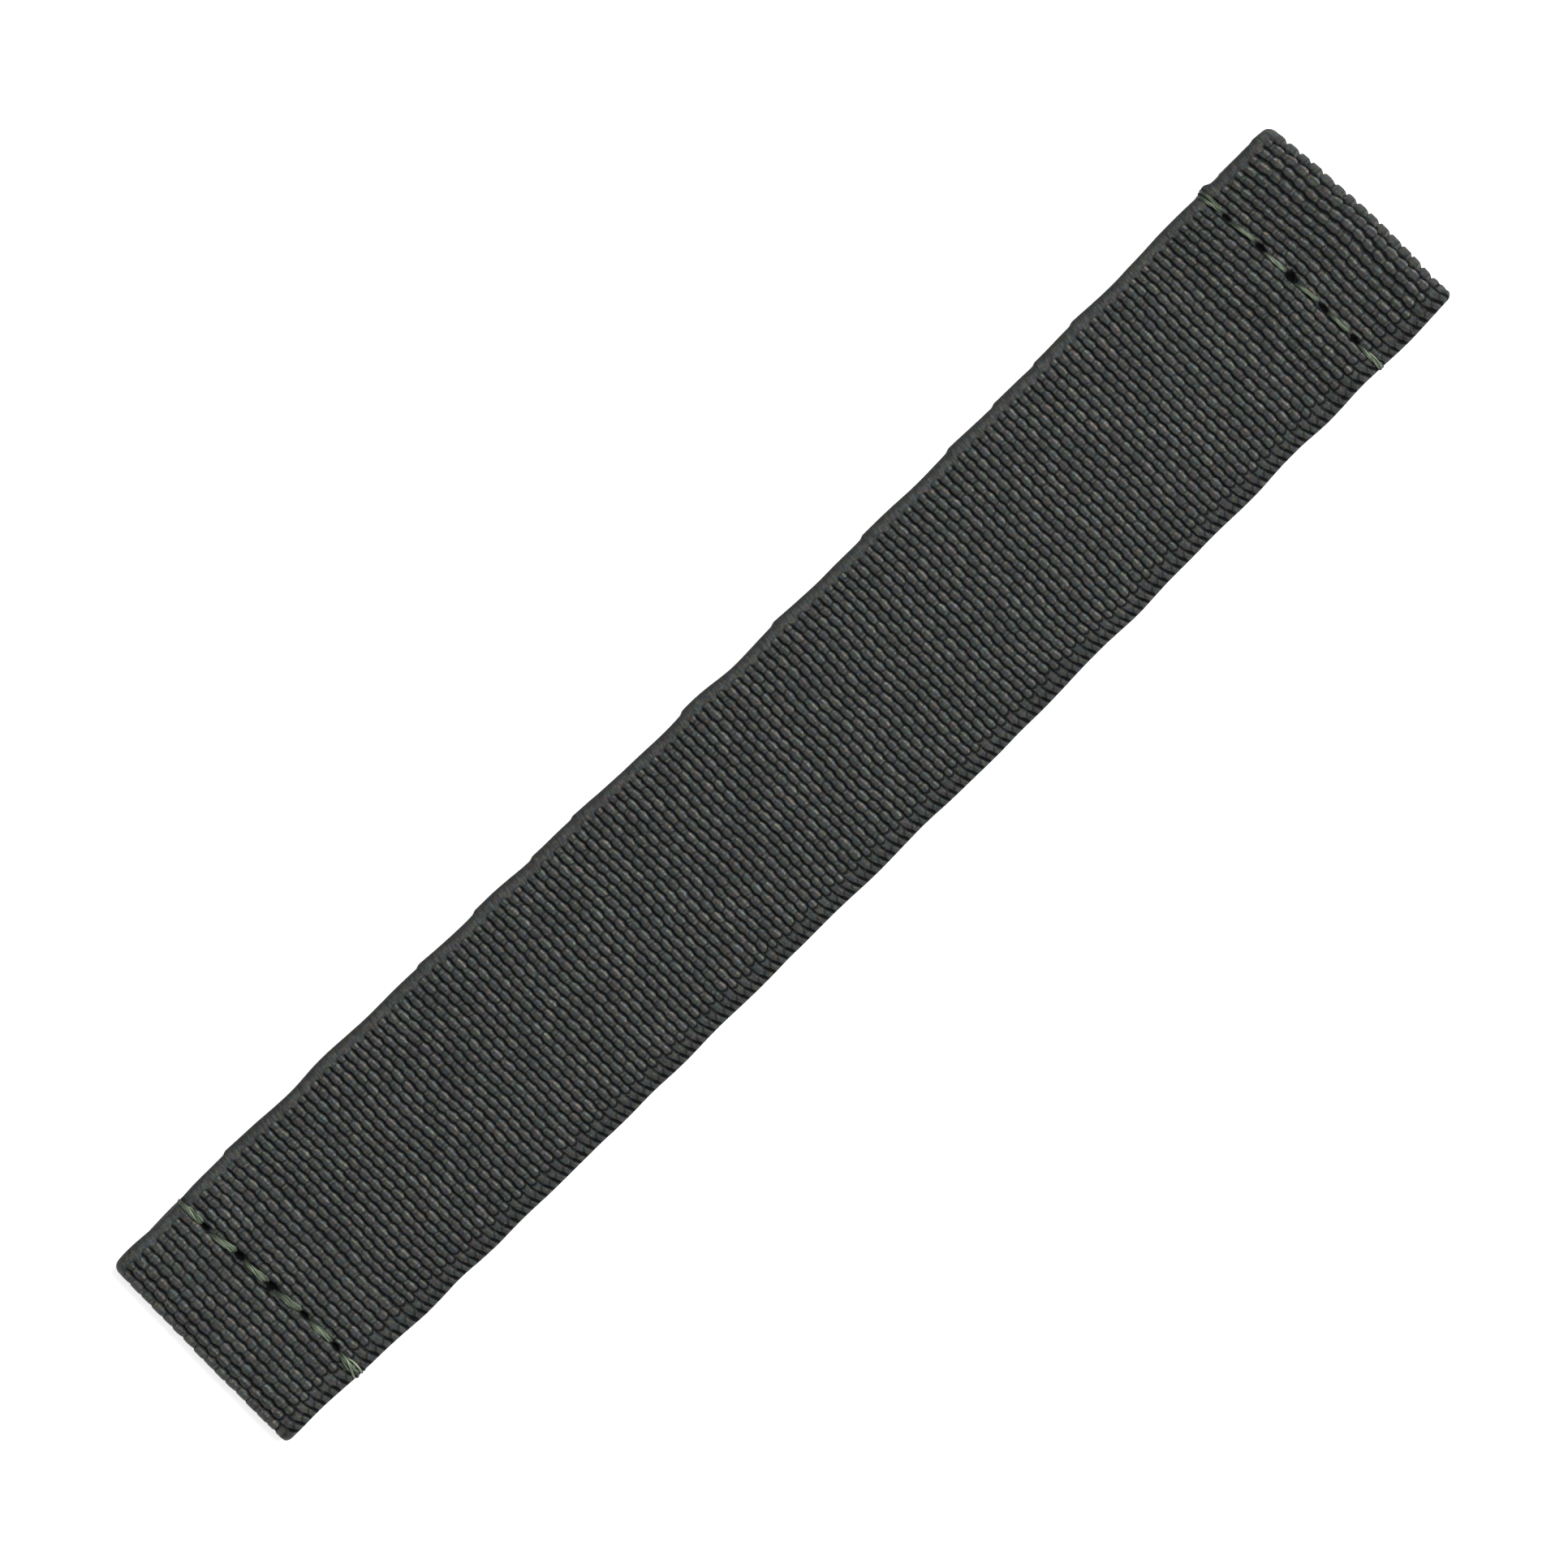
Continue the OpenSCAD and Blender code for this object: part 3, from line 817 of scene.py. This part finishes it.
def webbing_material():
    material, tree, shader = new_material("charcoal ribbed elastic")
    at = weave_patterns(tree)
    yarn = mix(tree, at.roll, bead_colour(tree, at), roll_colour(tree, at))
    yarn = tinged(tree, at, yarn, (2.6, 1.8, 1.8), (0.415, 0.46, 0.565), (0.585, 0.535, 0.44))
    yarn = tinged(tree, at, yarn, (2.2, 1.5, 4), (0.45, 0.54, 0.49), (0.55, 0.47, 0.5))
    # Painted shade on the roll where it turns under
    yarn = mix(tree, times(tree, attribute(tree, "brink"), 0.8), yarn, (0.012, 0.013, 0.0125))
    # Painted shade in the pits at the needle holes and in the pucker, with a ragged rim
    pit = times(tree, attribute(tree, "pit"), ramp(tree, at.ragged, 0.3, 0.7, 0.5, 1.4))
    # Painted shade, near black, between the ribs, in the creases, along the rib ends and in the pits
    dark = painted_groove_shade(tree, at)
    for shade in (painted_crease_shade(tree, at), *painted_rib_end_shades(tree, at), ramp(tree, pit, 0.08, 0.4)):
        dark = larger(tree, dark, shade)
    yarn = mix(tree, dark, yarn, (0.003, 0.0034, 0.0042))
    # The pits' painted shade deepens to near black
    yarn = mix(tree, ramp(tree, pit, 0.15, 0.55), yarn, (0.0006, 0.0007, 0.0009))
    finish(tree, shader, yarn, at.filaments, 0.5, 0.00008)
    tree.links.new(ramp(tree, dark, 0, 1, 0.65, 1), shader.inputs["Roughness"])
    shader.inputs["Specular IOR Level"].default_value = 0.12
    return material


def thread_material():
    material, tree, shader = new_material("sage green seam thread")
    lay = attribute(tree, "lay", "Vector")
    fibres = noise(tree, scaled(tree, lay, (0.9, 3, 3)), 1, 3)
    tuft = noise(tree, scaled(tree, lay, (3, 1.5, 1.5)), 1, 2)
    yarn = mix(tree, ramp(tree, fibres, 0.45, 0.66), (0.03, 0.046, 0.026), (0.5, 0.6, 0.43))
    yarn = mix(tree, ramp(tree, tuft, 0.4, 0.75, 0, 0.5), yarn, (0.085, 0.115, 0.07))
    # Painted shade on the plies' sides and the stitches' upper ends, and each ply's random darker tone
    yarn = mix(tree, attribute(tree, "shade"), yarn, (0.016, 0.022, 0.014))
    # Painted shade where the thread lies deep in the band
    yarn = mix(tree, attribute(tree, "deep"), yarn, (0.003, 0.004, 0.003))
    finish(tree, shader, yarn, fibres, 0.6, 0.00004)
    shader.inputs["Roughness"].default_value = 0.6
    shader.inputs["Specular IOR Level"].default_value = 0.25
    return material


def rubber_material():
    material, tree, shader = new_material("dull black rubber core")
    bloom = noise(tree, node(tree, "TexCoord", {}).outputs["Object"], 2500, 4)
    rubber = mix(tree, bloom, (0.012, 0.012, 0.011), (0.04, 0.04, 0.037))
    finish(tree, shader, rubber, bloom, 0.3, 0.00003)
    tree.links.new(ramp(tree, bloom, 0.3, 0.7, 0.6, 0.85), shader.inputs["Roughness"])
    return material


def weft_material():
    material, tree, shader = new_material("dark weft yarn")
    place = node(tree, "TexCoord", {}).outputs["Object"]
    fibres = noise(tree, scaled(tree, place, (9000, 700, 9000)), 1, 3)
    yarn = mix(tree, fibres, (0.02, 0.021, 0.019), (0.06, 0.063, 0.057))
    finish(tree, shader, yarn, fibres, 0.5, 0.00003)
    shader.inputs["Roughness"].default_value = 0.7
    return material


WEBBING = webbing_material()
THREAD = thread_material()
RUBBER = rubber_material()
WEFT = weft_material()

# The webbing, cut at grooves where one joint's stretch of it meets the next
END_MARGIN = 0.12
BEND_HALF = RIBS_A_BEND // 2


def groove_at(s):
    """The groove nearest to a distance from the middle of the strap"""
    return int(np.argmin(np.abs(GROOVES - s)))


def hinge_groove(side, k):
    return groove_at(SIDES[side] * (k - 0.5) * LINK_LEN)


def groove_xs(groove):
    """Where the band's outline lies along the strap at a groove"""
    x, z = band_place(groove_line(groove, LOOP_Y, LOOP_SIDE), LOOP_H)
    return settle(x, LOOP_Y, z)[0]


def ride_joint(piece, first, last):
    """Bakes a piece's placement into its mesh; where its ends lie is worked out but not used"""
    low, high = groove_xs(first).max() + END_MARGIN, groove_xs(last).min() - END_MARGIN
    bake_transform(piece)


def webbing_nodes(joint):
    """The frame's webbing on the two bodies of a joint"""
    bodies = frame["record"]["behaviour"]["bodies"]
    return [name for name in bodies[joint["parent"]] + bodies[joint["child"]] if name.startswith("webbing")]


def build_joint_piece(name, first, last):
    joint = JOINTS[name]
    piece = webbing_piece(f"webbing_{name}", first, last)
    ride_joint(piece, first, last)
    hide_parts(*webbing_nodes(joint))


def build_hem(side, first_rib):
    """A hem's webbing, cut in two at the far side of the fold"""
    fold = groove_at(SIDES[side] * (HALF_S - (TAIL_LEN - TAIL_TRIM - FOLD_C)))
    cut_end = 0 if side == "left" else RIBS
    for part, ends in (("face", (first_rib, fold)), ("tail", (fold, cut_end))):
        piece = webbing_piece(f"webbing_{part}_{side}", *sorted(ends))
        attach(piece, f"hem_{side}")
        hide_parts(f"webbing_hem_{side}")


def build_webbing():
    first, last = hinge_groove("left", 1) + BEND_HALF, hinge_groove("right", 1) - BEND_HALF
    piece = webbing_piece("webbing_middle", first, last)
    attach(piece, "centre_link")
    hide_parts("webbing_centre")
    for side, sign in SIDES.items():
        hinges = [hinge_groove(side, k) for k in range(1, LINKS_A_SIDE + 2)]
        for k, hinge in enumerate(hinges, 1):
            build_joint_piece(f"bend_{side}_{k}", hinge - BEND_HALF, hinge + BEND_HALF)
        for k, (near, far) in enumerate(zip(hinges, hinges[1:]), 1):
            ends = sorted((near + sign * BEND_HALF, far - sign * BEND_HALF))
            build_joint_piece(f"stretch_{side}_{k}", *ends)
        build_hem(side, hinges[-1] + sign * BEND_HALF)


build_webbing()

# The seam threads, each a loosely twisted bundle that rises out of one hole and dives into the next
PLIES = 6
PLY_R = {"left": 0.105, "right": 0.082}
PLY_OFFSET = {"left": 0.2, "right": 0.11}
BOBBIN_PLY_R = 0.06
BOBBIN_OFFSET = 0.09
BOBBIN_LEAN = 0.05
BUNDLE_FLATNESS = 0.7
NEEDLE_SINK = 0.02
BOBBIN_Z = 0.19
TWIST_LEN = 4.6
STITCH_TURN = 1.7
THREAD_SIDES = 8
ARCH_POWER = 3.2
THREAD_STEP = 0.08
HOLE_GAP = 0.52
EDGE_GAP = 0.05
# How far a bundle splays at the band's edge, by side and stitch
SPLAY = {("left", 5): 0.32, ("right", 0): 0.32, ("right", 5): 0.1}


def arch(side, start, stop, lean, low, high):
    """A stitch's middle line, out of the band at start, over, and back in at stop, and lengths along it"""
    turn = np.linspace(math.pi, 0, 160)
    flat = np.sign(np.cos(turn)) * np.abs(np.cos(turn)) ** (2 / ARCH_POWER)
    rise = np.abs(np.sin(turn)) ** (2 / ARCH_POWER)
    along = (start + stop) / 2 + (stop - start) / 2 * flat
    across = lean * flat + wander(side, along)
    x, y = from_seam(side, across, along)
    line = np.stack([x, y, low + (high - low) * rise], axis=1)
    steps = np.concatenate([[0], np.cumsum(np.linalg.norm(np.diff(line, axis=0), axis=1))])
    even = np.linspace(0, steps[-1], int(steps[-1] / THREAD_STEP))
    return np.stack([np.interp(even, steps, line[:, axis]) for axis in range(3)], axis=1), even


def ply_piece(name, line, length, ply_r, offset, start_turn, splay):
    """One ply of a stitch, wound loosely round the stitch's middle line"""
    ahead = np.gradient(line, axis=0)
    ahead = ahead / np.linalg.norm(ahead, axis=1)[:, None]
    aside = np.array([1.0, 0, 0]) - ahead[:, :1] * ahead
    aside = aside / np.linalg.norm(aside, axis=1)[:, None]
    over = np.cross(ahead, aside)
    share = length / length[-1]
    down = (line[:, 1].max() - line[:, 1]) / np.ptp(line[:, 1])
    loose = 0.5 + 0.5 * smooth_step(down, 0, 0.5) - 0.15 * smooth_step(down, 0.85, 1)
    stray = dice.uniform(0.7, 1.3)
    stray = stray + 0.2 * np.sin(2 * math.pi * (share * dice.uniform(0.6, 1.4) + dice.uniform(0, 1)))
    dim = dice.uniform(0, 0.45)
    turn = start_turn + 2 * math.pi * length / TWIST_LEN
    sideways = offset * stray * loose * np.cos(turn) + splay * share
    upward = offset * BUNDLE_FLATNESS * loose * np.sin(turn)
    centre = line + sideways[:, None] * aside + upward[:, None] * over

    def shape(row, column):
        angle = 2 * math.pi * column / THREAD_SIDES
        out = np.cos(angle)[:, None] * aside[row] + BUNDLE_FLATNESS * np.sin(angle)[:, None] * over[row]
        place = centre[row] + ply_r * out
        lay = np.stack([length[row], np.cos(angle) + 2 * start_turn, np.sin(angle)], axis=1)
        # Painted shade where the ply lies deep in the band, going into its hole
        deep = 1 - smooth_step(np.abs(place[:, 2] - LOCK_Z), 0.7, 1.15)
        # Painted shade on each ply's sides and on the stitch's upper end, plus a random darker tone per ply
        shade = 0.5 * (1 - smooth_step(np.abs(np.sin(angle)), 0.35, 0.95)) + dim
        shade = shade + 0.7 * (1 - smooth_step(down[row], 0.05, 0.5))
        marks = {"lay": lay, "deep": deep, "shade": np.clip(shade, 0, 0.9)}
        return np.stack(settle(*place.T), axis=1), marks

    return tube_mesh(name, len(line) - 1, THREAD_SIDES, shape)


def joined(name, pieces, material):
    """Joins pieces into one mesh with one finish"""
    bm = bmesh.new()
    for piece in pieces:
        bm.from_mesh(piece.data)
    mesh = bpy.data.meshes.new(name)
    bm.to_mesh(mesh)
    bm.free()
    for piece in pieces:
        old = piece.data
        bpy.data.objects.remove(piece)
        bpy.data.meshes.remove(old)
    mesh.materials.append(material)
    whole = bpy.data.objects.new(name, mesh)
    bpy.context.scene.collection.objects.link(whole)
    return whole


def seam_thread(side, kind):
    holes = [hole + SEAM_SHIFT[side] for hole in HOLES]
    stops = [EDGE_HOLE] + holes[::-1] + [-EDGE_HOLE]
    on_face = kind == "needle"
    ply_r = PLY_R[side] if on_face else BOBBIN_PLY_R
    offset = PLY_OFFSET[side] if on_face else BOBBIN_OFFSET
    lean = STITCH_LEAN if on_face else BOBBIN_LEAN
    outer_z = FACE_TOP - NEEDLE_SINK if on_face else BOBBIN_Z
    plies = []
    for i in range(len(stops) - 1):
        start = stops[i] - (HOLE_GAP if i > 0 else EDGE_GAP)
        stop = stops[i + 1] + (HOLE_GAP if i < len(stops) - 2 else EDGE_GAP)
        line, length = arch(side, start, stop, lean, LOCK_Z, outer_z)
        spread = SPLAY.get((side, i), 0) if on_face else 0
        if i == 0:
            line = line[::-1]
        for ply in range(PLIES):
            name = f"{kind}_{side}_{i}_{ply}"
            turn = 2 * math.pi * ply / PLIES + STITCH_TURN * i
            splay = spread * (1 if ply % 2 else -1)
            plies.append(ply_piece(name, line, length, ply_r, offset, turn, splay))
    thread = joined(f"{kind}_stitches_{side}", plies, THREAD)
    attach(thread, f"hem_{side}")
    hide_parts(f"{kind}_thread_{side}")


for side in SIDES:
    for kind in ("needle", "bobbin"):
        seam_thread(side, kind)

# The cores in the hems follow the band round the fold as it really lies
CORE_HALF = 0.18
CORES_A_HALF = 5
CORE_YS = [sign * (i + 0.5) * CORE_PITCH for i in range(CORES_A_HALF) for sign in (-1, 1)]
CORE_STEP = 0.4
CORE_STOP = 0.8


def hem_core(side, y):
    start, stop = sorted(SIDES[side] * s for s in (HALF_S, LINK_LEN * (LINKS_A_SIDE + 0.5) + CORE_STOP))
    rows = math.ceil((stop - start) / CORE_STEP)
    corners = [(-1, -1), (-1, 1), (1, 1), (1, -1), (-1, -1)]

    def shape(row, column):
        corner = CORE_HALF * np.array(corners)[column]
        x, z = band_place(start + (stop - start) * row / rows, corner[:, 1])
        return np.stack(settle(x, y + corner[:, 0], z), axis=1), {}

    return tube_mesh(f"core_{side}_{y}", rows, len(corners) - 1, shape)


for side in SIDES:
    cores = joined(f"hem_cores_{side}", [hem_core(side, y) for y in CORE_YS], RUBBER)
    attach(cores, f"hem_{side}")
    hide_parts(f"rubber_cores_hem_{side}")

# The other cores stay as the frame has them
for name, obj in frame["nodes"].items():
    if name.startswith("rubber_cores"):
        obj.data.materials.clear()
        obj.data.materials.append(RUBBER)

# The weft picks at the hinges end inside the selvedges as these really lie
PICK_R = 0.15
PICK_INSET = 0.5
PICK_ROWS = 24
PICK_SIDES = 12


def weft_pick(name, hinge):
    def shape(row, column):
        angle = 2 * math.pi * column / PICK_SIDES
        y = (HALF_W - PICK_INSET) * (2 * row / PICK_ROWS - 1)
        place = settle(hinge + PICK_R * np.cos(angle), y, MID_T + PICK_R * np.sin(angle))
        return np.stack(place, axis=1), {}

    pick = tube_mesh(f"{name}_yarn", PICK_ROWS, PICK_SIDES, shape)
    pick.data.materials.append(WEFT)
    return pick


for body, members in frame["record"]["behaviour"]["bodies"].items():
    for name in members:
        if name.startswith("weft_pick"):
            side, k = name.split("_")[2:]
            pick = weft_pick(name, SIDES[side] * (int(k) - 0.5) * LINK_LEN)
            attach(pick, body)
            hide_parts(name)

# Floor, which drops with the folds when the strap bends down
FLOOR_HALF = 1500
FLOOR_GAP = 0.01
FLOOR_MARKS = {"centre_link": 0, "hem_left": FOLD_C - HALF_LEN, "hem_right": HALF_LEN - FOLD_C}


def paper_material():
    material, tree, shader = new_material("white paper floor")
    paper = noise(tree, node(tree, "TexCoord", {}).outputs["Object"], 900, 3)
    tree.links.new(mix(tree, paper, (0.9, 0.9, 0.9), (0.93, 0.93, 0.93)), shader.inputs["Base Color"])
    shader.inputs["Roughness"].default_value = 0.9
    shader.inputs["Emission Color"].default_value = (1, 1, 1, 1)
    shader.inputs["Emission Strength"].default_value = 0.6
    return material


def paper_floor():
    """The paper, which lies FOLD_C and a small gap below the floor's own height, where its marks are"""
    mesh = bpy.data.meshes.new("floor")
    bm = bmesh.new()
    bmesh.ops.create_grid(bm, x_segments=1, y_segments=1, size=FLOOR_HALF * MM)
    bmesh.ops.translate(bm, verts=bm.verts, vec=(0, 0, -(FOLD_C + FLOOR_GAP) * MM))
    bm.to_mesh(mesh)
    bm.free()
    floor = bpy.data.objects.new("floor", mesh)
    bpy.context.scene.collection.objects.link(floor)
    mesh.materials.append(paper_material())
    return floor


def drop_with_folds(floor):
    """Keeps the floor's own height at that of its lowest mark: the strap's middle or either fold"""
    lowest = floor.driver_add("location", 2).driver
    lowest.type = "MIN"
    for body, x in FLOOR_MARKS.items():
        mark = bpy.data.objects.new(f"floor_mark_{body}", None)
        bpy.context.scene.collection.objects.link(mark)
        mark.location = (x * MM, 0, FOLD_C * MM)
        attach(mark, body)
        height = lowest.variables.new()
        height.type = "TRANSFORMS"
        height.targets[0].id = mark
        height.targets[0].transform_type = "LOC_Z"
        height.targets[0].transform_space = "WORLD_SPACE"


drop_with_folds(paper_floor())

# Light: a broad soft key from above the right end, a wider lamp almost overhead, and a dim even fill from
# a world that looks white
FILL = 0.18


def soft_light(name, azimuth, elevation, range_mm, size, power):
    light = bpy.data.lights.new(name, "AREA")
    light.shape = "DISK"
    light.size = size * MM
    light.energy = power
    lamp = bpy.data.objects.new(name, light)
    bpy.context.scene.collection.objects.link(lamp)
    a, e = math.radians(azimuth), math.radians(elevation)
    flat = range_mm * MM * math.cos(e)
    lamp.location = (flat * math.cos(a), flat * math.sin(a), range_mm * MM * math.sin(e))
    lamp.rotation_euler = (math.pi / 2 - e, 0, a + math.pi / 2)


def studio_world():
    world = bpy.data.worlds.new("studio")
    world.use_nodes = True
    tree = world.node_tree
    background = tree.nodes["Background"]
    background.inputs["Color"].default_value = (1, 1, 1, 1)
    seen = node(tree, "LightPath", {}).outputs["Is Camera Ray"]
    tree.links.new(ramp(tree, seen, 0, 1, FILL, 1), background.inputs["Strength"])
    return world


soft_light("key", azimuth=-12, elevation=66, range_mm=900, size=420, power=9)
soft_light("top", azimuth=100, elevation=80, range_mm=1000, size=800, power=2.5)
bpy.context.scene.world = studio_world()
bpy.context.scene.view_settings.view_transform = "Standard"

# Camera, straight above, turned so that the strap runs up to the right
VIEW_WIDTH = 124.6
LENS = 200
SENSOR = 36
CENTRE = (-0.06, 0.05)
TURN = 44.5
camera_data = bpy.data.cameras.new("camera")
camera_data.lens = LENS
camera_data.sensor_width = SENSOR
camera = bpy.data.objects.new("camera", camera_data)
bpy.context.scene.collection.objects.link(camera)
camera.location = (CENTRE[0] * MM, CENTRE[1] * MM, (BAND_T + LENS * VIEW_WIDTH / SENSOR) * MM)
camera.rotation_euler = (0, 0, -math.radians(TURN))
bpy.context.scene.camera = camera
